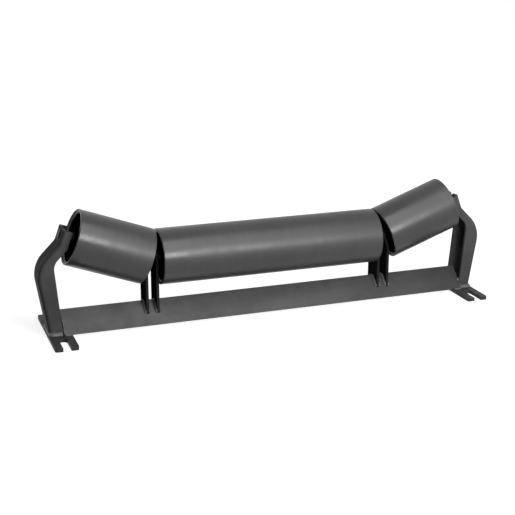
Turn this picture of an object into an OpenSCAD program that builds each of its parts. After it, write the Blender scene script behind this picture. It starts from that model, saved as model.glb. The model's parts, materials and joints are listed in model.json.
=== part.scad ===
// Troughing idler set with a long centre roll and two short wing rolls.
// The rolls turn on fixed shafts that drop into slotted posts and end brackets
// on an inverted-angle cross beam with two slotted feet.
// Origin: centre of the base, on the underside of the feet, in the plane of the
// roll axes.  X runs along the beam, Y along the belt, Z up.  Millimetres.

/* [Rolls] */
// Outside diameter of the three rolls
roll_d = 127; // [108:1:133]
// Length of the centre roll over its shell
centre_len = 528; // [400:1:700]
// Length of each wing roll over its shell
wing_len = 176; // [140:1:300]
// Wall of the roll shells
shell_wall = 4.5; // [3:0.5:6]
// Chamfer on the outer rims of the shells
shell_chamfer = 1.2; // [0.5:0.1:1.5]
// Tilt of the wing rolls above level
trough_angle = 20; // [15:0.5:22]
// Space between neighbouring rolls at their upper edges
roll_gap = 5.2; // [5:0.1:8]
// Height of the centre roll's axis above the mounting face
axis_h = 155; // [148:1:180]

/* [Shafts] */
// Diameter of the shafts at the bearings
shaft_d = 20; // [18:0.5:22]
// Diameter of the shafts between the bearings
shaft_mid_d = 25; // [24:0.5:28]
// Width across the flats at the shaft ends
flat_w = 14; // [12:0.5:15]
// Length of shaft that stands out past the plate that holds it
shaft_proud = 1.2; // [0.6:0.1:1.4]

/* [Bearings and seals] */
// Outside diameter of the ball bearings
bearing_od = 47; // [45:0.5:50]
// Width of the ball bearings
bearing_w = 14; // [12:0.5:15]
// Diameter of the balls
ball_d = 7.9; // [7:0.1:8.2]
// Balls in each bearing
ball_count = 8; // [6:1:9]
// Sheet thickness of the pressed bearing housings
housing_t = 3; // [2:0.5:4]
// Depth of the housing face inside the shell end
recess = 6; // [5:0.5:12]
// Axial room for the labyrinth seal between housing face and bearing
seal_room = 13.5; // [12:0.5:18]
// Wall of the labyrinth rings
fin_t = 1.4; // [1:0.1:1.5]
// Sheet thickness of the dust caps
cap_t = 1.5; // [1:0.1:2]
// Thickness of the circlips
circlip_t = 1.2; // [1:0.1:1.4]

/* [Cross beam] */
// Leg length of the angle section
beam_leg = 63.5; // [55:0.5:70]
// Leg thickness of the angle section
beam_t = 6.35; // [5:0.05:8]
// Fillet radius in the root of the angle
root_r = 7; // [4:0.5:9]
// Rounding on the toes of the angle
toe_r = 2.5; // [1:0.5:4]

/* [Feet] */
// Width of a foot plate along the beam
foot_w = 52; // [46:1:70]
// Length of a foot plate along the belt
foot_len = 228.6; // [200:0.2:260]
// Thickness of the foot plates
foot_t = 8; // [6:0.5:10]
// Width of the open bolt slots
slot_w = 17.5; // [14:0.5:20]
// Distance from the beam's centre line to the round end of a slot
slot_y = 66; // [60:1:80]
// Corner radius of the foot plates
foot_corner = 6; // [2:0.5:8]
// Length of foot that shows outside the end bracket
foot_lip = 3.3; // [1:0.1:10]

/* [End brackets] */
// Width of the pressed channel across its web
bracket_depth = 63.5; // [56:0.5:76]
// Sheet thickness of the channel
bracket_t = 6; // [5:0.5:8]
// Outer bend radius between web and flanges
bracket_r = 9; // [8.5:0.5:12]
// Flange width at the foot
flange_foot = 29.5; // [24:0.5:34]
// Flange width at the shoulder and the head
flange_head = 19.5; // [16:0.5:22]
// Distance from the wing roll's end face to the outside of the web
web_stand = 26.8; // [25:0.1:32]
// Rise of the bracket head above the shaft axis
head_rise = 15; // [13:0.5:22]
// Length of the bracket head below the shaft axis
head_drop = 19.6; // [17:0.2:26]
// Length of the sloping shoulder, measured to the corners
shoulder_len = 75.4; // [70:0.2:84]
// Slope of the shoulder from upright
shoulder_angle = 45; // [40:1:50]
// Outward lean of the lower leg
leg_lean = 9; // [5:0.5:12]
// Outer radius of the elbow between leg and shoulder
elbow_r = 70; // [56:1:76]
// Radius of the reverse bend between shoulder and head
neck_r = 25; // [15:1:35]
// Lean of the flanges' free edge along the lower leg
edge_lean = 5; // [4:0.5:8]
// Rounding of the free edge inside the elbow
edge_r = 30; // [15:1:40]

/* [Posts] */
// Thickness of the post plates
post_t = 6; // [5:0.25:6.5]
// Width of the post plates along the belt
post_w = 51; // [44:1:60]
// Distance from the centre roll's end to its post
post_clear = 4.5; // [4:0.1:5.5]
// Distance from the wing roll's inner end to its post
wing_clear = 3.2; // [2.6:0.1:3.6]
// Distance between the two posts of a pair above the beam
post_gap = 18.5; // [17:0.5:24]
// Rise of the post heads above the shaft axis
post_rise = 13; // [11:0.5:14]
// Corner radius of the post heads
post_corner = 9; // [3:0.5:12]
// Inner radius of the bend in the wing posts
post_bend_r = 6; // [3:0.5:10]

/* [Fits] */
// Clearance in width between shaft flats and slots
slot_fit = 0.6; // [0.2:0.1:1]
// Clearance between a shaft end's round and its slot bottom
seat_fit = 0.1; // [0.05:0.05:0.2]
// Radial clearance between balls and races
race_fit = 0.08; // [0.05:0.01:0.1]
// Clearance between balls and cage pockets
pocket_fit = 0.2; // [0.1:0.05:0.3]
// Gap between the rings of the labyrinth seals
seal_fit = 0.9; // [0.6:0.1:1.2]
// Gap left at welded joints
weld_fit = 0.3; // [0.1:0.1:0.5]

/* [Hidden] */
$fn = 96;

// Straight runs end this far inside a bend, with their faces this little below its own
lap = 0.3;
ease = 0.02;
// Cutting shapes reach this far past the metal that they cut
over = 1;

paint = [0.29, 0.30, 0.31];
paint_dark = [0.22, 0.23, 0.24];
steel = [0.66, 0.67, 0.69];
bright = [0.80, 0.81, 0.83];
nylon = [0.12, 0.12, 0.13];
brass = [0.72, 0.60, 0.34];

// Unit vectors [x, z] of a line that leans outward by an angle, and its outward normal
function along(lean) = [sin(lean), cos(lean)];
function across(lean) = [cos(lean), -sin(lean)];
// Where the line through p with lean a crosses the line through q with lean b
function crossing(p, a, q, b) =
    p + along(a) * ((q - p) * across(b)) / (along(a) * across(b));

// Wing roll axis on the right: centres of its inner and outer end faces
roll_r = roll_d / 2;
wing_in = [centre_len / 2 + roll_gap + roll_r * sin(trough_angle),
           axis_h + roll_r * (1 - cos(trough_angle))];
wing_dir = across(-trough_angle);
wing_out = wing_in + wing_len * wing_dir;

// End bracket: corners of the outer web line, from the head down to the foot
web_axis = wing_out + web_stand * wing_dir;
head_top = web_axis + head_rise * along(-trough_angle);
neck = web_axis - head_drop * along(-trough_angle);
elbow = neck - shoulder_len * along(-shoulder_angle);
foot_pt = elbow - along(leg_lean) * (elbow[1] - foot_t) / cos(leg_lean);

// Arcs of the web line: tangent lengths and centres
elbow_turn = leg_lean + shoulder_angle;
elbow_tan = elbow_r * tan(elbow_turn / 2);
elbow_c = elbow - elbow_tan * along(leg_lean) - elbow_r * across(leg_lean);
neck_turn = shoulder_angle - trough_angle;
neck_tan = neck_r * tan(neck_turn / 2);

// Free edge of the flanges
edge_foot = foot_pt - [flange_foot, 0];
edge_shoulder = neck - flange_head * across(-shoulder_angle);
edge_head = web_axis - flange_head * wing_dir;
edge_elbow = crossing(edge_foot, edge_lean, edge_shoulder, -shoulder_angle);
edge_neck = crossing(edge_head, -trough_angle, edge_shoulder, -shoulder_angle);
edge_tan = edge_r * tan((edge_lean + shoulder_angle) / 2);
flange_max = (elbow - edge_elbow) * across(leg_lean) + over;

// Feet and beam
foot_x = foot_pt[0] + foot_lip - foot_w / 2;
beam_end = edge_foot[0] - weld_fit;
toe_drop = (beam_leg + beam_t - 2 * toe_r) / sqrt(2) + toe_r;
ridge_z = foot_t + toe_drop;

// Posts
post_x = centre_len / 2 + post_clear;
post_face = post_x + post_t + post_gap;
wing_post_mid = wing_in - (wing_clear + post_t / 2) * wing_dir;
wing_post_corner = crossing([post_face + post_t / 2, 0], 0, wing_post_mid, -trough_angle);
post_tan = (post_bend_r + post_t / 2) * tan(trough_angle / 2);

// Bearings, measured inward from a roll's end face
shaft_r = shaft_d / 2;
bearing_r = bearing_od / 2;
pitch_r = (shaft_r + bearing_r) / 2;
bearing_a = recess + seal_room;
bearing_end = bearing_a + bearing_w;
// Radial space between the two races, as a share of the ball
race_share = 0.78;
inner_race_r = pitch_r - ball_d * race_share / 2;
outer_race_r = pitch_r + ball_d * race_share / 2;
// Half length and half wall of the cages, as shares of the ball
cage_half = 0.6;
cage_wall = 0.16;

// Housings: rim in the shell, cup round the bearing, lip behind the bearing
shell_bore_r = roll_r - shell_wall;
cup_r = bearing_r + housing_t;
rim_len = 12;
lip_depth = 3;
mouth_r = 1;

// Circlips in their grooves, just inside the housing face
circlip_inset = 0.5;
circlip_a = recess + circlip_inset;
circlip_rim = 1.8;
circlip_gap = 5;
groove_r = shaft_r - 0.5;

// Labyrinth: a disc with fins facing a back plate with fins, on a hub and in a skirt
hub_wall = 2.2;
hub_a = circlip_a + circlip_t;
hub_r = shaft_r + hub_wall;
disc_inset = 0.3;
disc_a = hub_a + disc_inset;
disc_t = 1.8;
disc_fit = 0.6;
back_t = 2;
back_inset = 0.5;
back_a = bearing_a - back_t - back_inset;
fin_a = disc_a + disc_t + seal_fit;
fin_end = back_a - seal_fit;
fin_1 = hub_r + 1;
fin_2 = fin_1 + fin_t + seal_fit;
fin_3 = fin_2 + fin_t + seal_fit;
skirt_r = fin_3 + fin_t + seal_fit;

// Dust caps: a disc over the cup's mouth with a thinner rim
cap_bore_r = shaft_r + 1.5;
cap_r = cup_r + 4;

// A ring about the X axis from a to b, between two radii
module ring(r_in, r_out, a, b) {
    rotate([0, 90, 0])
        rotate_extrude()
            translate([r_in, a])
                square([r_out - r_in, b - a]);
}

// Puts its children on the right wing roll's axis, starting at its inner end
module right_wing() {
    translate([wing_in[0], 0, wing_in[1]])
        rotate([0, -trough_angle, 0])
            children();
}

module left_wing() {
    mirror([1, 0, 0])
        right_wing()
            children();
}

module centre_roll() {
    translate([-centre_len / 2, 0, axis_h])
        children();
}

// Repeats its children at both ends of a roll, each measured inward from the end face
module both_ends(len) {
    for (end = [0, 1])
        roll_end(len, end)
            children();
}

module roll_end(len, end) {
    translate([end * len, 0, 0])
        rotate([0, 0, 180 * end])
            children();
}

// Tube with chamfered outer rims
module shell(len) {
    c = shell_chamfer;
    rotate([0, 90, 0])
        rotate_extrude($fn = 180)
            polygon([
                [shell_bore_r, 0], [roll_r - c, 0], [roll_r, c],
                [roll_r, len - c], [roll_r - c, len], [shell_bore_r, len]
            ]);
}

// Pressed housing: rim in the shell, flat face, cup round the bearing, inward lip
module housing() {
    bend = housing_t;
    rotate([0, 90, 0])
        rotate_extrude($fn = 120)
            difference() {
                union() {
                    translate([cup_r + bend, recess])
                        square([shell_bore_r - cup_r - 2 * bend, housing_t]);
                    translate([shell_bore_r - housing_t, recess + bend])
                        square([housing_t, rim_len - bend]);
                    translate([shell_bore_r - bend, recess + bend])
                        quarter(bend, [1, -1]);
                    translate([bearing_r, recess + bend])
                        square([housing_t, bearing_end - recess - bend]);
                    translate([bearing_r, recess])
                        square([housing_t + bend, bend]);
                    translate([bearing_r - lip_depth, bearing_end])
                        square([lip_depth + housing_t, housing_t]);
                }
                translate([bearing_r, recess])
                    difference() {
                        square(mouth_r);
                        translate([mouth_r, mouth_r])
                            circle(mouth_r);
                    }
            }
}

// Quarter disc in the quadrant given by its signs
module quarter(r, signs) {
    intersection() {
        circle(r);
        translate([signs[0] < 0 ? -r : 0, signs[1] < 0 ? -r : 0])
            square(r);
    }
}

// Bearing rings with ball grooves
module race(r_in, r_out) {
    rotate([0, 90, 0])
        rotate_extrude()
            difference() {
                translate([r_in, bearing_a])
                    square([r_out - r_in, bearing_w]);
                translate([pitch_r, bearing_a + bearing_w / 2])
                    circle(ball_d / 2 + race_fit);
            }
}

module balls(fit = 0) {
    for (i = [0 : ball_count - 1])
        rotate([i * 360 / ball_count, 0, 0])
            translate([bearing_a + bearing_w / 2, 0, pitch_r])
                sphere(ball_d / 2 + fit);
}

module cage() {
    half = ball_d * cage_half;
    wall = ball_d * cage_wall;
    mid = bearing_a + bearing_w / 2;
    difference() {
        ring(pitch_r - wall, pitch_r + wall, mid - half, mid + half);
        balls(pocket_fit);
    }
}

// Turning half of the labyrinth, pressed into the housing cup
module seal_cup() {
    ring(hub_r + disc_fit, bearing_r, disc_a, disc_a + disc_t);
    ring(fin_2, fin_2 + fin_t, disc_a, fin_end);
    ring(skirt_r, bearing_r, disc_a, back_a + back_t);
}

// Fixed half of the labyrinth, held on the shaft between bearing and circlip
module seal_hub() {
    ring(shaft_r, hub_r, hub_a, bearing_a);
    ring(shaft_r, fin_3 + fin_t, back_a, back_a + back_t);
    ring(fin_1, fin_1 + fin_t, fin_a, back_a + back_t);
    ring(fin_3, fin_3 + fin_t, fin_a, back_a + back_t);
}

// Pressed cap over the mouth of the cup
module dust_cap() {
    ring(cap_bore_r, cap_r, recess - cap_t, recess);
    ring(cap_r, cap_r + cap_t, recess - cap_t / 2, recess);
}

// Open spring ring in the shaft groove
module circlip() {
    difference() {
        ring(groove_r, shaft_r + circlip_rim, circlip_a, circlip_a + circlip_t);
        translate([circlip_a - over, -circlip_gap / 2, 0])
            cube([circlip_t + 2 * over, circlip_gap, shaft_d]);
    }
}

// Turned shaft: thick middle, bearing seats, circlip grooves, flatted ends.
// stub is the length past each end face and hold where the flats begin.
module shaft(len, stub, hold) {
    rotate([0, 90, 0])
        difference() {
            union() {
                translate([0, 0, -stub[0]])
                    cylinder(r = shaft_r, h = len + stub[0] + stub[1]);
                translate([0, 0, bearing_end])
                    cylinder(d = shaft_mid_d, h = len - 2 * bearing_end);
            }
            for (end = [0, 1])
                translate([0, 0, end * len])
                    mirror([0, 0, end])
                        shaft_cuts(stub[end], hold[end]);
        }
}

// Circlip groove and flats of one shaft end
module shaft_cuts(stub, hold) {
    translate([0, 0, circlip_a])
        difference() {
            cylinder(r = shaft_r + over, h = circlip_t);
            cylinder(r = groove_r, h = circlip_t);
        }
    for (side = [-1, 1])
        translate([-shaft_r, side * (flat_w / 2 + shaft_r) - shaft_r, -stub - over])
            cube([shaft_d, shaft_d, stub + over - hold]);
}

// Angle section with its ridge at the origin and both legs pointing down
module angle_section() {
    rotate(-135)
        difference() {
            union() {
                square([beam_leg, beam_t]);
                square([beam_t, beam_leg]);
                translate([beam_t, beam_t])
                    difference() {
                        square(root_r);
                        translate([root_r, root_r])
                            circle(root_r);
                    }
            }
            for (swap = [0, 1])
                mirror([swap, -swap])
                    translate([beam_leg - toe_r, beam_t - toe_r])
                        difference() {
                            square(toe_r + over);
                            circle(toe_r);
                        }
        }
}

// Foot plate on the right: rounded plate with a bolt slot open at each end
module foot() {
    translate([foot_x, 0, 0])
        linear_extrude(foot_t)
            difference() {
                rounded_plate(foot_w, foot_len, foot_corner);
                for (side = [-1, 1])
                    translate([0, side * slot_y]) {
                        circle(d = slot_w);
                        translate([-slot_w / 2, side < 0 ? -foot_len : 0])
                            square([slot_w, foot_len]);
                    }
            }
}

module rounded_plate(w, l, r) {
    square([w - 2 * r, l], center = true);
    square([w, l - 2 * r], center = true);
    for (sx = [-1, 1], sy = [-1, 1])
        translate([sx * (w / 2 - r), sy * (l / 2 - r)])
            circle(r);
}

// Channel section of the end bracket: outer web face at x = 0, flanges towards -x.
// inset draws every face back into the metal by that much.
module channel_section(inset = 0) {
    inner_r = bracket_r - bracket_t;
    difference() {
        translate([-inset, 0])
            channel_block(flange_max, bracket_depth - 2 * inset, bracket_r);
        translate([inset - bracket_t, 0])
            channel_block(flange_max, bracket_depth - 2 * (bracket_t - inset), inner_r);
    }
}

module channel_block(l, w, r) {
    translate([-l, -w / 2])
        square([l - r, w]);
    translate([-l, -w / 2 + r])
        square([l, w - 2 * r]);
    for (side = [-1, 1])
        translate([-r, side * (w / 2 - r)])
            circle(r);
}

// Sweeps a section about the Y axis, from the plane z = 0 up to that plane turned
// by an angle.  Both end planes are cut in the frames of the runs that meet them.
module bend(turn, reach) {
    intersection() {
        rotate([90, 0, 0])
            rotate_extrude()
                children();
        translate([0, -reach, 0])
            cube([reach, 2 * reach, reach]);
        rotate([0, -turn, 0])
            translate([0, -reach, -reach])
                cube([reach, 2 * reach, reach]);
    }
}

// The pressed channel bent along its web line, before its edges are trimmed.
// Each run is drawn in the frame of the bend below it.
module bent_channel() {
    leg = norm(elbow - foot_pt) - elbow_tan + foot_t;
    slope = shoulder_len - elbow_tan - neck_tan;
    head = head_drop + head_rise - neck_tan;
    translate([elbow_c[0], 0, elbow_c[1]])
        rotate([0, leg_lean, 0]) {
            translate([elbow_r, 0, -leg])
                channel_run(leg + lap);
            bend(elbow_turn, 2 * elbow_r)
                translate([elbow_r, 0])
                    channel_section();
            rotate([0, -elbow_turn, 0]) {
                translate([elbow_r, 0, -lap])
                    channel_run(slope + 2 * lap);
                translate([elbow_r + neck_r, 0, slope])
                    neck_and_head(head);
            }
        }
}

// Straight run, its faces a hair below those of the bends that it runs into
module channel_run(len) {
    linear_extrude(len)
        channel_section(ease);
}

// Reverse bend and head, about the centre of the reverse bend
module neck_and_head(head) {
    mirror([1, 0, 0])
        bend(neck_turn, 2 * (neck_r + flange_max))
            translate([neck_r, 0])
                mirror([1, 0])
                    channel_section();
    rotate([0, neck_turn, 0])
        translate([-neck_r, 0, -lap])
            channel_run(head + lap);
}

// Space inside the flanges' free edge, as an outline in the X-Z plane
module edge_trim() {
    a = edge_elbow - edge_tan * along(edge_lean);
    b = edge_elbow + edge_tan * along(-shoulder_angle);
    c = a - edge_r * across(edge_lean);
    top = edge_head + 2 * head_rise * along(-trough_angle);
    deep = edge_foot[0] - 3 * flange_foot;
    polygon([
        [deep, 0], [edge_foot[0], 0], edge_foot, a, b, edge_neck, top, [deep, top[1]]
    ]);
    translate(c)
        circle(edge_r + ease);
}

// Shape of a shaft end's slot, open upwards, for a flatted shaft
module shaft_slot() {
    w = flat_w + slot_fit;
    intersection() {
        circle(shaft_r + seat_fit);
        square([w, 2 * shaft_d], center = true);
    }
    translate([-w / 2, 0])
        square([w, 3 * shaft_d]);
}

// End bracket on the right
module end_bracket() {
    difference() {
        bent_channel();
        translate([0, bracket_depth, 0])
            rotate([90, 0, 0])
                linear_extrude(2 * bracket_depth)
                    edge_trim();
        translate([foot_pt[0] - bracket_depth, -bracket_depth, foot_t - bracket_depth])
            cube([2 * bracket_depth, 2 * bracket_depth, bracket_depth]);
        translate([wing_in[0], 0, wing_in[1]])
            rotate([0, -trough_angle, 0])
                translate([wing_len + web_stand - 2 * bracket_t, 0, 0])
                    rotate([90, 0, 90])
                        linear_extrude(3 * bracket_t)
                            shaft_slot();
    }
}

// Outline of a post in the Y-Z plane about the shaft axis, with its slot
module post_outline(drop, inset = 0) {
    difference() {
        union() {
            translate([inset - post_w / 2, -drop])
                square([post_w - 2 * inset, drop + post_rise - post_corner]);
            translate([-post_w / 2 + post_corner, 0])
                square([post_w - 2 * post_corner, post_rise]);
            for (side = [-1, 1])
                translate([side * (post_w / 2 - post_corner), post_rise - post_corner])
                    circle(post_corner);
        }
        shaft_slot();
    }
}

// Solid under the beam's outer faces, which notches the posts
module beam_wedge() {
    translate([-centre_len, 0, ridge_z])
        rotate([90, 0, 90])
            linear_extrude(2 * centre_len)
                polygon([[0, 0], [-beam_leg, -beam_leg], [beam_leg, -beam_leg]]);
}

// Upright plate under the right end of the centre roll
module centre_post() {
    difference() {
        translate([post_x, 0, axis_h])
            rotate([90, 0, 90])
                linear_extrude(post_t)
                    post_outline(axis_h - ridge_z + post_w / 2);
        beam_wedge();
    }
}

// Bent plate under the inner end of the right wing roll
module wing_post() {
    head_len = norm(wing_post_mid - wing_post_corner) - post_tan;
    leg_z = wing_post_corner[1] - post_tan;
    leg_len = leg_z - ridge_z + post_w / 2;
    difference() {
        translate([post_face - post_bend_r, 0, leg_z]) {
            translate([post_bend_r + ease, ease - post_w / 2, -leg_len])
                cube([post_t - 2 * ease, post_w - 2 * ease, leg_len + lap]);
            bend(trough_angle, post_w)
                translate([post_bend_r, -post_w / 2])
                    square([post_t, post_w]);
            rotate([0, -trough_angle, 0])
                translate([post_bend_r + ease, 0, 0])
                    rotate([90, 0, 90])
                        linear_extrude(post_t - 2 * ease)
                            translate([0, head_len])
                                post_outline(head_len + lap, ease);
        }
        beam_wedge();
    }
}

module mirrored() {
    mirror([1, 0, 0])
        children();
}

// Stub lengths past the end faces.  A wing shaft's inner end stands out the least,
// because it faces the centre shaft's end.
centre_stub = post_clear + post_t + shaft_proud;
wing_stub_in = wing_clear + post_t + shaft_proud * 0.6;
wing_stub_out = web_stand + 2 * shaft_proud;
// The flats begin this far before the plate that holds them
flat_lead = 1.5;
centre_hold = post_clear - flat_lead;
wing_hold_in = wing_clear - flat_lead;
wing_hold_out = web_stand - bracket_t - flat_lead;

module cross_beam() {
    color(paint)
        translate([-beam_end, 0, ridge_z])
            rotate([90, 0, 90])
                linear_extrude(2 * beam_end)
                    angle_section();
}

module foot_right() { color(paint) foot(); }
module foot_left() { color(paint) mirrored() foot(); }
module end_bracket_right() { color(paint) end_bracket(); }
module end_bracket_left() { color(paint) mirrored() end_bracket(); }
module centre_post_right() { color(paint_dark) centre_post(); }
module centre_post_left() { color(paint_dark) mirrored() centre_post(); }
module wing_post_right() { color(paint_dark) wing_post(); }
module wing_post_left() { color(paint_dark) mirrored() wing_post(); }

module centre_shell() { color(paint) centre_roll() shell(centre_len); }
module left_shell() { color(paint) left_wing() shell(wing_len); }
module right_shell() { color(paint) right_wing() shell(wing_len); }

module centre_shaft() {
    color(steel)
        centre_roll()
            shaft(centre_len, [centre_stub, centre_stub], [centre_hold, centre_hold]);
}
module left_shaft() {
    color(steel)
        left_wing()
            shaft(wing_len, [wing_stub_in, wing_stub_out], [wing_hold_in, wing_hold_out]);
}
module right_shaft() {
    color(steel)
        right_wing()
            shaft(wing_len, [wing_stub_in, wing_stub_out], [wing_hold_in, wing_hold_out]);
}

module centre_housing_left() { color(paint_dark) centre_roll() roll_end(centre_len, 0) housing(); }
module centre_housing_right() { color(paint_dark) centre_roll() roll_end(centre_len, 1) housing(); }
module left_housing_inner() { color(paint_dark) left_wing() roll_end(wing_len, 0) housing(); }
module left_housing_outer() { color(paint_dark) left_wing() roll_end(wing_len, 1) housing(); }
module right_housing_inner() { color(paint_dark) right_wing() roll_end(wing_len, 0) housing(); }
module right_housing_outer() { color(paint_dark) right_wing() roll_end(wing_len, 1) housing(); }

module outer_ring() { race(outer_race_r, bearing_r); }
module inner_ring() { race(shaft_r, inner_race_r); }

module centre_outer_rings() { color(bright) centre_roll() both_ends(centre_len) outer_ring(); }
module left_outer_rings() { color(bright) left_wing() both_ends(wing_len) outer_ring(); }
module right_outer_rings() { color(bright) right_wing() both_ends(wing_len) outer_ring(); }
module centre_inner_rings() { color(bright) centre_roll() both_ends(centre_len) inner_ring(); }
module left_inner_rings() { color(bright) left_wing() both_ends(wing_len) inner_ring(); }
module right_inner_rings() { color(bright) right_wing() both_ends(wing_len) inner_ring(); }
module centre_balls() { color(bright) centre_roll() both_ends(centre_len) balls(); }
module left_balls() { color(bright) left_wing() both_ends(wing_len) balls(); }
module right_balls() { color(bright) right_wing() both_ends(wing_len) balls(); }
module centre_cages() { color(brass) centre_roll() both_ends(centre_len) cage(); }
module left_cages() { color(brass) left_wing() both_ends(wing_len) cage(); }
module right_cages() { color(brass) right_wing() both_ends(wing_len) cage(); }
module centre_seal_cups() { color(nylon) centre_roll() both_ends(centre_len) seal_cup(); }
module left_seal_cups() { color(nylon) left_wing() both_ends(wing_len) seal_cup(); }
module right_seal_cups() { color(nylon) right_wing() both_ends(wing_len) seal_cup(); }
module centre_seal_hubs() { color(nylon) centre_roll() both_ends(centre_len) seal_hub(); }
module left_seal_hubs() { color(nylon) left_wing() both_ends(wing_len) seal_hub(); }
module right_seal_hubs() { color(nylon) right_wing() both_ends(wing_len) seal_hub(); }
module centre_dust_caps() { color(paint_dark) centre_roll() both_ends(centre_len) dust_cap(); }
module left_dust_caps() { color(paint_dark) left_wing() both_ends(wing_len) dust_cap(); }
module right_dust_caps() { color(paint_dark) right_wing() both_ends(wing_len) dust_cap(); }
module centre_circlips() { color(steel) centre_roll() both_ends(centre_len) circlip(); }
module left_circlips() { color(steel) left_wing() both_ends(wing_len) circlip(); }
module right_circlips() { color(steel) right_wing() both_ends(wing_len) circlip(); }

cross_beam();
foot_left();
foot_right();
end_bracket_left();
end_bracket_right();
centre_post_left();
centre_post_right();
wing_post_left();
wing_post_right();
centre_shell();
left_shell();
right_shell();
centre_shaft();
left_shaft();
right_shaft();
centre_housing_left();
centre_housing_right();
left_housing_inner();
left_housing_outer();
right_housing_inner();
right_housing_outer();
centre_outer_rings();
left_outer_rings();
right_outer_rings();
centre_inner_rings();
left_inner_rings();
right_inner_rings();
centre_balls();
left_balls();
right_balls();
centre_cages();
left_cages();
right_cages();
centre_seal_cups();
left_seal_cups();
right_seal_cups();
centre_seal_hubs();
left_seal_hubs();
right_seal_hubs();
centre_dust_caps();
left_dust_caps();
right_dust_caps();
centre_circlips();
left_circlips();
right_circlips();
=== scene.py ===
import json
import math
import random

import bmesh
import bpy
from mathutils import Matrix, Vector


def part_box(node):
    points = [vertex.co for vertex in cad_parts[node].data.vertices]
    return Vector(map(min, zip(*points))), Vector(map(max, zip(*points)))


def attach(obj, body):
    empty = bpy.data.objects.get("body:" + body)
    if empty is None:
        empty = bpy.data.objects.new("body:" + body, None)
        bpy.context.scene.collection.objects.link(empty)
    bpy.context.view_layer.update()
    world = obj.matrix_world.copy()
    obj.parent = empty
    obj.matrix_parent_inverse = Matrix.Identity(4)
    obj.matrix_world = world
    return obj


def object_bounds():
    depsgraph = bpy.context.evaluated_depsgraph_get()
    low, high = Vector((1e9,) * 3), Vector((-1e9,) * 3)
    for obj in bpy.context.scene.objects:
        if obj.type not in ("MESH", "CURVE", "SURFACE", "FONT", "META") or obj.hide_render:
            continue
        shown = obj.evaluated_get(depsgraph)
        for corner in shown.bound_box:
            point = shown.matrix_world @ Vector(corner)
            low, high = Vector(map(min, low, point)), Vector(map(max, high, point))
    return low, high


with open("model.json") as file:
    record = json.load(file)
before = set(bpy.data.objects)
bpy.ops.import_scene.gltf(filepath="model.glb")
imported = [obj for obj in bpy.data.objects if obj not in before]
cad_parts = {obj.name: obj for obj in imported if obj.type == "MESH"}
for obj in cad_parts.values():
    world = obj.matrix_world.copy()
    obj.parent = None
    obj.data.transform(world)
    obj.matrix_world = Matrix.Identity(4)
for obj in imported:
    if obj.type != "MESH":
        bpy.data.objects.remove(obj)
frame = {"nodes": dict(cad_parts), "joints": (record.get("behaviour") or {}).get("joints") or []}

CAD_LOW, CAD_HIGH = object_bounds()
CENTRE = (CAD_LOW + CAD_HIGH) / 2
NODES = frame["nodes"]
JOINTS = {j["name"]: j for j in frame["joints"]}
ROLLS = ("centre", "left", "right")
SIDES = (("left", -1), ("right", 1))


def face_x(box, sign):
    """The x of a box's right face for sign 1, or of its left face for sign -1."""
    low, high = box
    return high.x if sign > 0 else low.x


def shaft_line(roll):
    """The unit vector along a roll's shaft, and a point on the shaft's middle line."""
    spin = JOINTS[roll + "_roll_spin"]
    return Vector(spin["axis"]).normalized(), Vector(spin["pos_m"])


# ---------------------------------------------------------------- camera

VIEW_TURN = math.radians(-19.83)   # the camera stands to the left of straight ahead
VIEW_TILT = math.radians(16.96)    # and above
VIEW_ROLL = math.radians(0.11)
VIEW_DISTANCE = 2.665              # from the point looked at
AIM_SIDE = -0.0246                 # the point looked at, from the object's centre
AIM_UP = -0.0129
SENSOR = 36.0
LENS = 80.39
NEAR_CLIP, FAR_CLIP = 0.05, 100


def make_camera():
    """The photograph's view: a long lens from the front left, a little above."""
    back = Vector((math.sin(VIEW_TURN) * math.cos(VIEW_TILT),
                   -math.cos(VIEW_TURN) * math.cos(VIEW_TILT),
                   math.sin(VIEW_TILT)))
    side = Vector((0, 0, 1)).cross(back).normalized()
    up = back.cross(side)
    aim = CENTRE + AIM_SIDE * side + AIM_UP * up
    data = bpy.data.cameras.new("camera")
    data.sensor_width = SENSOR
    data.lens = LENS
    data.clip_start = NEAR_CLIP
    data.clip_end = FAR_CLIP
    camera = bpy.data.objects.new("camera", data)
    bpy.context.scene.collection.objects.link(camera)
    turn = Matrix((side, up, back)).transposed() @ Matrix.Rotation(VIEW_ROLL, 3, "Z")
    camera.matrix_world = Matrix.Translation(aim + VIEW_DISTANCE * back) @ turn.to_4x4()
    bpy.context.scene.camera = camera


# ---------------------------------------------------------------- node trees

NOISE_LOW, NOISE_HIGH = 0.3, 0.7   # most of a noise lies between these
EDGE_SAMPLES = 6
EDGE_NONE, EDGE_FULL = 0.985, 0.80  # true against rounded normal: no edge, full edge


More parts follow.
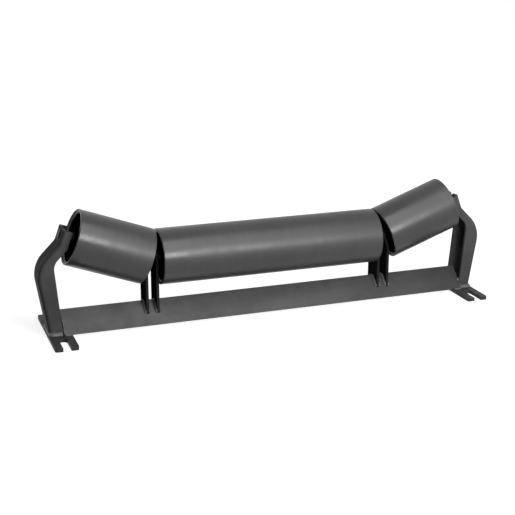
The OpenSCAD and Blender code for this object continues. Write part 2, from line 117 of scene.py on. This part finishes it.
class Tree:
    """A short way to write the node tree of a material or a world."""

    def __init__(self, owner, shader="Principled BSDF"):
        owner.use_nodes = True
        self.owner = owner
        self.nodes = owner.node_tree.nodes
        self.links = owner.node_tree.links
        self.shader = self.nodes[shader]

    def add(self, kind, inputs=None, **settings):
        node = self.nodes.new("ShaderNode" + kind)
        for key, value in settings.items():
            setattr(node, key, value)
        for key, value in (inputs or {}).items():
            self.put(node, key, value)
        return node

    def put(self, node, key, value):
        if isinstance(value, bpy.types.NodeSocket):
            self.links.new(value, node.inputs[key])
        else:
            node.inputs[key].default_value = value

    def place(self):
        """The point in the piece's own frame, which is the assembly's at rest."""
        return self.add("TexCoord").outputs["Object"]

    def noise(self, scale, detail=4.0, rough=0.55, vector=None, stretch=None):
        """Cloudy noise with about this many patches to the metre."""
        if vector is None:
            vector = self.place()
        if stretch:
            vector = self.add("Mapping", {"Vector": vector, "Scale": stretch}).outputs[0]
        node = self.add("TexNoise", {"Vector": vector, "Scale": scale, "Detail": detail,
                                     "Roughness": rough})
        return node.outputs["Fac"]

    def along(self, axis, middle):
        """The distance along an axis from a point on it."""
        offset = self.add("VectorMath", {0: self.place(), 1: tuple(middle)},
                          operation="SUBTRACT")
        run = self.add("VectorMath", {0: offset.outputs[0], 1: tuple(axis)},
                       operation="DOT_PRODUCT")
        return run.outputs["Value"]

    def bands(self, run, scale, detail, rough):
        """Noise that changes with one distance alone, as rings round a turned piece."""
        point = self.add("CombineXYZ", {0: run}).outputs[0]
        return self.noise(scale, detail, rough, vector=point)

    def ramp(self, value, low, high, out_low=0.0, out_high=1.0, smooth=True):
        node = self.add("MapRange", {"Value": value, "From Min": low, "From Max": high,
                                     "To Min": out_low, "To Max": out_high})
        node.interpolation_type = "SMOOTHSTEP" if smooth else "LINEAR"
        return node.outputs["Result"]

    def spots(self, low, high, scale, detail, rough):
        """Soft patches: 0 where the noise is below low, 1 where it is above high."""
        return self.ramp(self.noise(scale, detail, rough), low, high)

    def drift(self, low, high, scale, detail, rough):
        """A value that wanders between low and high over the surface."""
        return self.ramp(self.noise(scale, detail, rough), NOISE_LOW, NOISE_HIGH, low, high)

    def math(self, what, a, b=0.0):
        return self.add("Math", {0: a, 1: b}, operation=what).outputs[0]

    def blend(self, a, b, share):
        """A share of value a and the rest of value b."""
        return self.math("ADD", self.math("MULTIPLY", a, share),
                         self.math("MULTIPLY", b, 1 - share))

    def mix(self, amount, a, b):
        node = self.add("Mix", data_type="RGBA")
        self.put(node, 0, amount)
        self.put(node, 6, a)
        self.put(node, 7, b)
        return node.outputs[2]

    def cover(self, colour, where, share, tone):
        """The colour with a share of another tone laid over it in places."""
        return self.mix(self.math("MULTIPLY", where, share), colour, tone)

    def bump(self, height, strength, distance, after=None):
        node = self.add("Bump", {"Height": height, "Strength": strength,
                                 "Distance": distance})
        if after:
            self.put(node, "Normal", after)
        return node.outputs["Normal"]

    def edges(self, radius):
        """Near 1 on sharp edges and in corners within the radius, 0 on flat faces."""
        soft = self.add("Bevel", {"Radius": radius}, samples=EDGE_SAMPLES).outputs[0]
        true = self.add("NewGeometry").outputs["Normal"]
        dot = self.add("VectorMath", {0: soft, 1: true}, operation="DOT_PRODUCT")
        return self.ramp(dot.outputs["Value"], EDGE_NONE, EDGE_FULL)

    def finish(self, **inputs):
        for key, value in inputs.items():
            self.put(self.shader, key.replace("_", " "), value)
        return self.owner


def grey(value, warm=0.0):
    return (value * (1 + warm), value, value * (1 - warm), 1)


# ---------------------------------------------------------------- materials

EDGE_WEAR_AND_HIGHLIGHT = 0.0012                 # width of the paler strip along an edge of the frame: wear and a painted highlight
RIM_WEAR = 0.001                   # and along a roll's rim
PIT_DEPTH = 0.00008                # what the bumps stand for: mill scale pits
PEEL_DEPTH = 0.00006               # orange peel in the frame's paint
WAVE_DEPTH = 0.0004                # slow waves in the steel under it
BAND_DEPTH = 0.0001                # spray bands round a roll
ROLL_PEEL_DEPTH = 0.00005
TURNING_DEPTH = 0.00004            # turning marks on a shaft
SCRATCH_DEPTH = 0.00003
GRAIN_DEPTH = 0.00005              # spark-eroded grain of plastic
BEAD_PEEL_DEPTH = 0.00006

PAINTED_SHADE_FROM = CENTRE.x - 0.2         # where painted shade starts to darken a paint towards the right

ROLL_TONE = 0.030
ROLL_SHINE = 0.43
GLOSSY_END, DULL_REST = -0.11, 0.03  # added to the roughness at a roll's left end, and
GLOSS_REACH = 0.13                   # from this distance on

SHAFT_TONE = 0.030
SHAFT_SHINE = 0.12

WELD_TONE = 0.080
POST_WELD_TONE = 0.085

# tone, how far it varies, strength of the pits, roughness, shine (specular level), and for the
# beam the share of tone that painted shade leaves at its right end
FRAME_PAINTS = {
    "beam": dict(base=0.078, mottle=0.26, pits=0.45, dull=0.44, shine=0.20, painted_shade_fade=0.42),
    "foot": dict(base=0.042, mottle=0.18, pits=0.40, dull=0.46, shine=0.10),
    "bracket": dict(base=0.066, mottle=0.22, pits=0.22, dull=0.52, shine=0.02),
    # the posts' tone is the frame enamel made darker: painted shade for their shaded sides
    "post": dict(base=0.020, mottle=0.14, pits=0.30, dull=0.56, shine=0.0),
    "housing": dict(base=0.012, mottle=0.12, pits=0.15, dull=0.55, shine=0.0),
    "cap": dict(base=0.010, mottle=0.12, pits=0.12, dull=0.55, shine=0.0),
}


def frame_paint(name, base, mottle, pits, dull, shine, painted_shade_fade=1.0):
    """Dark grey satin enamel over hot rolled steel: cloudy tone, fine orange peel,
    faint scale pits, and edges paler and duller, partly as wear and partly as a painted
    highlight. The last argument is the share of its tone that painted shade leaves at the part's
    right end."""
    t = Tree(bpy.data.materials.new(name))
    cloud = t.noise(9, 5, 0.6)
    streak = t.noise(16, 4, 0.6, stretch=(0.25, 1, 1))
    tone = t.ramp(t.blend(cloud, streak, 0.65), 0.33, 0.67)
    colour = t.mix(tone, grey(base * (1 - mottle)), grey(base * (1 + mottle)))
    # painted shade: the tone darkens evenly from left of the centre to the part's right end
    if painted_shade_fade < 1:
        run = t.add("SeparateXYZ", {0: t.place()}).outputs["X"]
        painted_shade_ramp = t.ramp(run, PAINTED_SHADE_FROM, CAD_HIGH.x, 0, 1 - painted_shade_fade, smooth=False)
        colour = t.mix(painted_shade_ramp, colour, grey(0))
    # paler edges: partly wear, partly a painted highlight along the frame's edges
    worn = t.math("MULTIPLY", t.edges(EDGE_WEAR_AND_HIGHLIGHT), t.spots(0.42, 0.62, 60, 5, 0.7))
    colour = t.cover(colour, worn, 0.45, grey(base * 2.1, 0.02))
    dust = t.spots(0.62, 0.74, 240, 3, 0.6)
    colour = t.cover(colour, dust, 0.18, grey(base * 1.7, 0.03))
    rough = t.drift(dull - 0.07, dull + 0.09, 34, 6, 0.65)
    rough = t.math("ADD", rough, t.math("MULTIPLY", worn, 0.12))
    normal = t.bump(t.spots(0.56, 0.70, 150, 4, 0.7), pits, PIT_DEPTH)
    normal = t.bump(t.noise(900, 2, 0.5), 0.22, PEEL_DEPTH, normal)
    normal = t.bump(t.noise(22, 3, 0.5), 0.25, WAVE_DEPTH, normal)
    t.shader.inputs["Specular IOR Level"].default_value = shine
    return t.finish(Base_Color=colour, Roughness=rough, Normal=normal)


def roll_paint(name, axis, middle, left_end):
    """Smooth enamel on steel tube, sprayed while the roll turns: faint bands round
    it, slow changes of tone, worn rims, and more gloss towards its left end."""
    t = Tree(bpy.data.materials.new(name))
    run = t.along(axis, middle)
    bands = t.bands(run, 55, 6, 0.7)
    tone = t.ramp(t.blend(t.noise(7, 4, 0.6), bands, 0.6), 0.34, 0.66)
    colour = t.mix(tone, grey(ROLL_TONE * 0.82), grey(ROLL_TONE * 1.18))
    worn = t.math("MULTIPLY", t.edges(RIM_WEAR), t.spots(0.4, 0.62, 70, 5, 0.7))
    colour = t.cover(colour, worn, 0.5, grey(ROLL_TONE * 2.0, 0.02))
    swing = t.ramp(run, left_end, left_end + GLOSS_REACH, GLOSSY_END, DULL_REST)
    rough = t.math("ADD", t.drift(0.34, 0.42, 26, 5, 0.65), swing)
    normal = t.bump(bands, 0.10, BAND_DEPTH)
    normal = t.bump(t.noise(700, 2, 0.5), 0.16, ROLL_PEEL_DEPTH, normal)
    t.shader.inputs["Specular IOR Level"].default_value = ROLL_SHINE
    return t.finish(Base_Color=colour, Roughness=rough, Normal=normal)


def turned_steel(name, axis, middle):
    """Blackened bar: fine turning marks round the axis and a few darker stains."""
    t = Tree(bpy.data.materials.new(name))
    marks = t.bands(t.along(axis, middle), 2600, 3, 0.6)
    stain = t.spots(0.5, 0.72, 45, 5, 0.7)
    colour = t.cover(grey(SHAFT_TONE), stain, 0.55, grey(SHAFT_TONE * 0.45, 0.06))
    rough = t.drift(0.36, 0.52, 120, 4, 0.6)
    t.shader.inputs["Specular IOR Level"].default_value = SHAFT_SHINE
    return t.finish(Base_Color=colour, Roughness=rough,
                    Normal=t.bump(marks, 0.25, TURNING_DEPTH))


def plain_metal(name, base, metallic, rough_low, rough_high, warm=0.0):
    """Small hardened steel pieces: slight cloud, scratches and a soft lustre."""
    t = Tree(bpy.data.materials.new(name))
    cloud = t.spots(0.35, 0.65, 180, 5, 0.65)
    colour = t.mix(cloud, grey(base * 0.82, warm), grey(base * 1.12, warm))
    scratch = t.noise(900, 3, 0.6, stretch=(1, 0.2, 1))
    rough = t.ramp(scratch, NOISE_LOW, NOISE_HIGH, rough_low, rough_high)
    t.shader.inputs["Metallic"].default_value = metallic
    return t.finish(Base_Color=colour, Roughness=rough,
                    Normal=t.bump(scratch, 0.15, SCRATCH_DEPTH))


def moulded_plastic(name, base, warm=0.0):
    """Moulded plastic with a fine spark-eroded grain."""
    t = Tree(bpy.data.materials.new(name))
    cloud = t.spots(0.35, 0.65, 90, 4, 0.6)
    colour = t.mix(cloud, grey(base * 0.9, warm), grey(base * 1.1, warm))
    rough = t.drift(0.42, 0.58, 300, 3, 0.6)
    grain = t.bump(t.noise(1500, 2, 0.5), 0.3, GRAIN_DEPTH)
    return t.finish(Base_Color=colour, Roughness=rough, Normal=grain)


def weld_paint(name, base):
    """Enamel over a weld bead, a little glossier than on the steel beside it."""
    t = Tree(bpy.data.materials.new(name))
    cloud = t.spots(0.35, 0.65, 130, 4, 0.65)
    colour = t.mix(cloud, grey(base * 0.85), grey(base * 1.2))
    rough = t.drift(0.32, 0.46, 300, 4, 0.6)
    peel = t.bump(t.noise(1200), 0.2, BEAD_PEEL_DEPTH)
    return t.finish(Base_Color=colour, Roughness=rough, Normal=peel)


def paint_nodes():
    """Gives every CAD node the finish whose key is in its name."""
    finishes = {key: frame_paint(key + "_paint", **values)
                for key, values in FRAME_PAINTS.items()}
    finishes["rings"] = plain_metal("bearing_steel", 0.58, 1.0, 0.14, 0.24)
    finishes["balls"] = plain_metal("ball_steel", 0.66, 1.0, 0.06, 0.12)
    finishes["cages"] = moulded_plastic("cage_nylon", 0.42, 0.08)
    finishes["seal"] = moulded_plastic("seal_plastic", 0.022)
    finishes["circlips"] = plain_metal("spring_steel", 0.09, 0.9, 0.32, 0.5, 0.03)
    for roll in ROLLS:
        axis, middle = shaft_line(roll)
        shell = NODES[roll + "_shell"].data.vertices
        left_end = min((v.co - middle).dot(axis) for v in shell)
        finishes[roll + "_shell"] = roll_paint(roll + "_roll_paint", axis, middle, left_end)
        finishes[roll + "_shaft"] = turned_steel(roll + "_shaft_steel", axis, middle)
    for name, node in NODES.items():
        key = next(k for k in finishes if k in name)
        node.data.materials.clear()
        node.data.materials.append(finishes[key])


# ---------------------------------------------------------------- weld beads

POST_BEAD = 0.0052                 # leg lengths of the fillets
FOOT_BEAD = 0.0080
TOE_BEAD = 0.9 * FOOT_BEAD
SEAM_BEAD = 0.0045
RING_BEAD = 0.0040

STRETCHES = 200                    # pieces that a path is cut into to measure it
RIPPLE = 0.0024                    # from one ripple to the next
STEP = RIPPLE / 5                  # length of bead between two rings of points
LEAST_STEPS = 6
ROUNDS = 7                         # points across the face of a bead
ROUND = 0.45                       # shape of the face: 0 is flat, 1 is a quarter round
SWELL = 0.075                      # how much a ripple swells the middle of the face
SWELL_LEVEL = 0.5                  # where on a ripple the face keeps its own size
LAG = 0.55                         # how far a ripple's middle trails its ends, in ripples
SINK = 0.0003                      # how far a bead's back lies in the metal
LIP_SINK = 0.0001                  # and its lips
RING_SINK = 0.0012                 # and the backs of the rings in the rolls' ends
TAPER = 0.0030                     # length over which a bead starts and stops
BLUNT = 0.55                       # its size at the very end
WANDER = 0.05                      # how much its size changes along it
DRAWS, WAVES = 8, 5                # random draws for that, and those that are used

RIDGE_GAP = 0.0015                 # from the beam's ridge to the start of a post's bead
POST_GAP = 0.001                   # from its end to the post's edge
TOE_IN = 0.0042                    # from the beam's side to the toe's corner on the foot
FOOT_GAP = 0.0005                  # from the foot's edge to the start of a toe's bead
SEAM_RISE = 0.002                  # from the foot to the start of an upright seam
SEAM_SHORT = 0.004                 # from its top to the beam's slope
LIP_GAP = 0.0005                   # from the bracket's side to the seam across its edge
LIP_SEAM = 0.005                   # length of that seam, seen from above
LIP_LEAN = 0.3
WEB_LEAN = math.radians(9)         # of the brackets' webs at the foot, outwards
ROOM_USED = 0.9                    # how much of the plate beside it a bead may cover
LEAST_BOW, LEAST_RISE = 0.1, 0.4
LEVEL = 0.0002                     # points this near to a height lie on it
FLAT = 0.00005                     # and this near to a side, on that side


class Bead:
    """A mesh of fillet weld beads, each a closed body with crescent ripples."""

    def __init__(self, seed):
        self.mesh = bmesh.new()
        self.random = random.Random(seed)

    def wander(self):
        """A function of t from 0 to 1: a bead's size along it, as a hand makes it."""
        draws = [self.random.uniform(-1, 1) for _ in range(DRAWS)]
        waves = list(enumerate(draws[:WAVES], 1))

        def size(t):
            swing = sum(w * math.sin(2 * math.pi * k * t + 3 * w) for k, w in waves)
            return 1 + WANDER * swing / 2

        return size

    def ring(self, corner, wall_a, wall_b, size, run, sink):
        """The points round a bead at one place: its back, then across its face."""
        points = [corner - sink * (wall_a + wall_b)]
        for k in range(ROUNDS):
            turn = math.pi / 2 * k / (ROUNDS - 1)
            a, b = math.cos(turn), math.sin(turn)
            middle = math.sin(2 * turn)
            bulge = ROUND + (1 - ROUND) / (a + b)
            beat = (run / RIPPLE - LAG * middle) % 1
            ripple = math.sqrt(abs(math.sin(math.pi * beat))) - SWELL_LEVEL
            reach = size * bulge * (1 + SWELL * middle * ripple)
            lip = LIP_SINK * abs(a - b)
            points.append(corner + reach * (a * wall_a + b * wall_b)
                          - lip * (a * wall_b + b * wall_a))
        return [self.mesh.verts.new(point) for point in points]

    def add(self, path, leg, closed=False, sink=SINK):
        """path(t) for t from 0 to 1 gives a corner point and vectors along the two walls
        that meet there, 1 long where the bead has its full leg."""
        points = [path(i / STRETCHES)[0] for i in range(STRETCHES + 1)]
        length = sum((b - a).length for a, b in zip(points, points[1:]))
        steps = max(LEAST_STEPS, round(length / STEP))
        wander = self.wander()
        rings = []
        for i in range(steps + (0 if closed else 1)):
            t = i / steps
            corner, wall_a, wall_b = path(t)
            run = t * length
            size = leg * wander(t)
            if not closed:
                end = min(run, length - run) / TAPER
                size *= BLUNT + (1 - BLUNT) * math.sin(min(end, 1) * math.pi / 2)
            rings.append(self.ring(corner, wall_a, wall_b, size, run, sink))
        count = len(rings)
        for i in range(count if closed else count - 1):
            here, there = rings[i], rings[(i + 1) % count]
            for k in range(len(here)):
                m = (k + 1) % len(here)
                self.mesh.faces.new((here[k], here[m], there[m], there[k]))
        if not closed:
            self.mesh.faces.new(rings[0][::-1])
            self.mesh.faces.new(rings[-1])

    def line(self, start, stop, wall_a, wall_b, leg):
        """A straight bead."""
        start, stop = Vector(start), Vector(stop)
        wall_a, wall_b = Vector(wall_a).normalized(), Vector(wall_b).normalized()
        self.add(lambda t: (start.lerp(stop, t), wall_a, wall_b), leg)

    def make(self, name, body, material):
        bmesh.ops.recalc_face_normals(self.mesh, faces=self.mesh.faces)
        data = bpy.data.meshes.new(name)
        self.mesh.to_mesh(data)
        self.mesh.free()
        data.shade_smooth()
        data.materials.append(material)
        piece = bpy.data.objects.new(name, data)
        bpy.context.scene.collection.objects.link(piece)
        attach(piece, body)


def points_at(node, height):
    """A node's points at one height."""
    return [v.co for v in NODES[node].data.vertices if abs(v.co.z - height) < LEVEL]


def outline_at(node, height):
    """Lowest and highest corner of a node's points at one height."""
    points = points_at(node, height)
    low = Vector([min(p[i] for p in points) for i in range(3)])
    high = Vector([max(p[i] for p in points) for i in range(3)])
    return low, high


def weld_posts(material):
    """Both faces of each post plate are welded down both slopes of the beam."""
    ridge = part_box("cross_beam")[1].z
    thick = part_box("centre_post_right")[1].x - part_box("centre_post_right")[0].x
    for side, sign in SIDES:
        bead = Bead(11 + sign)
        for post in ("centre_post_", "wing_post_"):
            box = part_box(post + side)
            outer = face_x(box, sign)
            inner = outer - sign * thick
            reach = box[1].y - POST_GAP
            for face, away in ((outer, sign), (inner, -sign)):
                for slope in (-1, 1):
                    bead.line((face, slope * RIDGE_GAP, ridge - RIDGE_GAP),
                              (face, slope * reach, ridge - reach),
                              (away, 0, 0), (0, slope, 1), POST_BEAD)
        bead.make("post_welds_" + side, "frame", material)


def bracket_line(node, foot, edge, sign):
    """The line round a bracket's foot, from one flange's free edge round both folds to
    the other's: a path for Bead.add. The bead narrows where the foot plate does."""
    box = outline_at(node, foot)
    web, mouth = face_x(box, sign), face_x(box, -sign)
    half = box[1].y
    flange = [p.x for p in points_at(node, foot) if abs(p.y - half) < FLAT]
    fold = min(abs(web - x) for x in flange)
    straight = abs(web - mouth) - fold
    bend = fold * math.pi / 2
    whole = 2 * (straight + bend + half - fold)

    def path(t):
        run, end = (t * whole, -1) if t < 0.5 else ((1 - t) * whole, 1)
        turn = min(max(run - straight, 0) / fold, math.pi / 2)
        out = Vector((sign * math.sin(turn), end * math.cos(turn), 0))
        corner = Vector((web - sign * fold, end * (half - fold), foot)) + fold * out
        corner.x -= sign * max(straight - run, 0)
        corner.y -= end * max(run - straight - bend, 0)
        bow = abs(out.x)
        plate = ROOM_USED * abs(edge - corner.x)
        room = min(1, plate / (max(bow, LEAST_BOW) * FOOT_BEAD))
        up = Vector((sign * bow * math.sin(WEB_LEAN), 0, 1))
        return corner, room * out, (LEAST_RISE + (1 - LEAST_RISE) * room) * up

    return path


def weld_feet(material):
    """The toes of the angle welded to the foot, the bracket's flanges welded up beside
    the beam's end, and one bead round the bracket's foot."""
    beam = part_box("cross_beam")
    for side, sign in SIDES:
        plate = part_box("foot_" + side)
        bracket = "end_bracket_" + side
        foot = plate[1].z
        half = outline_at(bracket, foot)[1].y
        beam_end = face_x(beam, sign)
        start = face_x(plate, -sign) + sign * FOOT_GAP
        top = beam[1].z - half - SEAM_SHORT
        bead = Bead(21 + sign)
        for end in (-1, 1):
            toe = end * (beam[1].y - TOE_IN)
            bead.line((start, toe, foot), (beam_end, toe, foot),
                      (0, end, 0), (0, end, 1), TOE_BEAD)
            bead.line((beam_end, end * half, foot + SEAM_RISE), (beam_end, end * half, top),
                      (0, end, 0), (sign, 0, 0), SEAM_BEAD)
        bead.add(bracket_line(bracket, foot, face_x(plate, sign), sign), FOOT_BEAD)
        bead.make("foot_welds_" + side, "frame", material)


def weld_seams(material):
    """A short bead on the beam's ends beside each bracket flange. It lies on the beam
    alone: the flange's edge is about 1.5 mm away from it."""
    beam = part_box("cross_beam")
    ridge = beam[1].z
    for side, sign in SIDES:
        beam_end = face_x(beam, sign)
        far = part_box("end_bracket_" + side)[1].y - LIP_GAP
        near = far - LIP_SEAM
        bead = Bead(31 + sign)
        for end in (-1, 1):
            bead.line((beam_end, end * near, ridge - near), (beam_end, end * far, ridge - far),
                      (-sign, 0, 0), (0, end * LIP_LEAN, 1), SEAM_BEAD)
        bead.make("beam_welds_" + side, "frame", material)


def weld_roll_ends(material):
    """A ring of weld between each shell and the bearing housings in its ends."""
    for roll in ROLLS:
        axis, origin = shaft_line(roll)
        across = Vector((0, 1, 0))
        upright = axis.cross(across)
        shell = [v.co - origin for v in NODES[roll + "_shell"].data.vertices]
        bore = min((p - p.dot(axis) * axis).length for p in shell)
        middle = sum(p.dot(axis) for p in shell) / len(shell)
        bead = Bead(41 + len(roll))
        for name in [n for n in NODES if n.startswith(roll + "_housing")]:
            runs = [(v.co - origin).dot(axis) for v in NODES[name].data.vertices]
            outward = 1 if sum(runs) / len(runs) > middle else -1
            face = max(runs) if outward > 0 else min(runs)

            def circle(t, face=face, outward=outward):
                turn = 2 * math.pi * t
                radial = math.cos(turn) * across + math.sin(turn) * upright
                return origin + face * axis + bore * radial, outward * axis, -radial

            bead.add(circle, RING_BEAD, closed=True, sink=RING_SINK)
        bead.make(roll + "_end_welds", roll + "_roll", material)


def make_welds():
    material = weld_paint("weld_paint", WELD_TONE)
    weld_posts(weld_paint("post_weld_paint", POST_WELD_TONE))
    weld_feet(material)
    weld_seams(material)
    weld_roll_ends(material)


# ---------------------------------------------------------------- setting

FLOOR_REACH = 60.0
FLOOR_TONE = 0.4
FLOOR_ROUGH = 0.9
NEAR_GLOW, FAR_GLOW = 0.88, 1.0    # what the seen floor adds to its own lit colour
GLOW_FROM, GLOW_TO = 0.7, 2.2      # distances from the object between these two
WHITE = (1, 1, 1, 1)

# place from the object's centre, size, watts, and whether it shows in glossy paint
LAMPS = {
    "overhead": ((0.28, -1.10, 1.40), (1.3, 1.7), 24, True),
    "front": ((0.34, -1.6, 0.5), (0.9, 0.50), 20, True),
    "behind": ((0.50, 1.7, 0.6), (1.4, 0.8), 12, False),
}


def seen_rays(tree):
    """1 for the rays that show a backdrop: straight ones, glints and through glass."""
    path = tree.add("LightPath").outputs
    seen = tree.math("MAXIMUM", path["Is Camera Ray"], path["Is Glossy Ray"])
    return tree.math("MAXIMUM", seen, path["Is Transmission Ray"])


def make_floor():
    """Pale ground that looks near white and whiter far off; it keeps the soft shadow."""
    mesh = bpy.data.meshes.new("floor")
    edge, level = FLOOR_REACH, CAD_LOW.z
    mesh.from_pydata([(-edge, -edge, level), (edge, -edge, level),
                      (edge, edge, level), (-edge, edge, level)], [], [(0, 1, 2, 3)])
    floor = bpy.data.objects.new("floor", mesh)
    bpy.context.scene.collection.objects.link(floor)
    t = Tree(bpy.data.materials.new("floor_paint"))
    t.finish(Base_Color=grey(FLOOR_TONE), Roughness=FLOOR_ROUGH)
    t.shader.inputs["Specular IOR Level"].default_value = 0.0
    place = t.add("NewGeometry").outputs["Position"]
    away = t.add("VectorMath", {0: place, 1: tuple(CENTRE)}, operation="DISTANCE")
    glow = t.ramp(away.outputs["Value"], GLOW_FROM, GLOW_TO, NEAR_GLOW, FAR_GLOW)
    t.put(t.shader, "Emission Color", WHITE)
    t.put(t.shader, "Emission Strength", t.math("MULTIPLY", seen_rays(t), glow))
    mesh.materials.append(t.owner)


def make_world():
    """A white backdrop for seen_rays alone: it sheds no diffuse light."""
    world = bpy.data.worlds.new("studio")
    bpy.context.scene.world = world
    t = Tree(world, "Background")
    t.finish(Color=WHITE, Strength=seen_rays(t))


def make_lights():
    """Soft boxes overhead, in front and behind, turned to the object's centre."""
    for name, (place, size, watts, glints) in LAMPS.items():
        data = bpy.data.lights.new(name, "AREA")
        data.shape = "RECTANGLE"
        data.size, data.size_y = size
        data.energy = watts
        lamp = bpy.data.objects.new(name, data)
        bpy.context.scene.collection.objects.link(lamp)
        turn = (-Vector(place)).to_track_quat("-Z", "Y").to_matrix().to_4x4()
        lamp.matrix_world = Matrix.Translation(CENTRE + Vector(place)) @ turn
        lamp.visible_glossy = glints


make_camera()
make_floor()
make_world()
make_lights()
paint_nodes()
make_welds()

view = bpy.context.scene.view_settings
view.view_transform = "Standard"
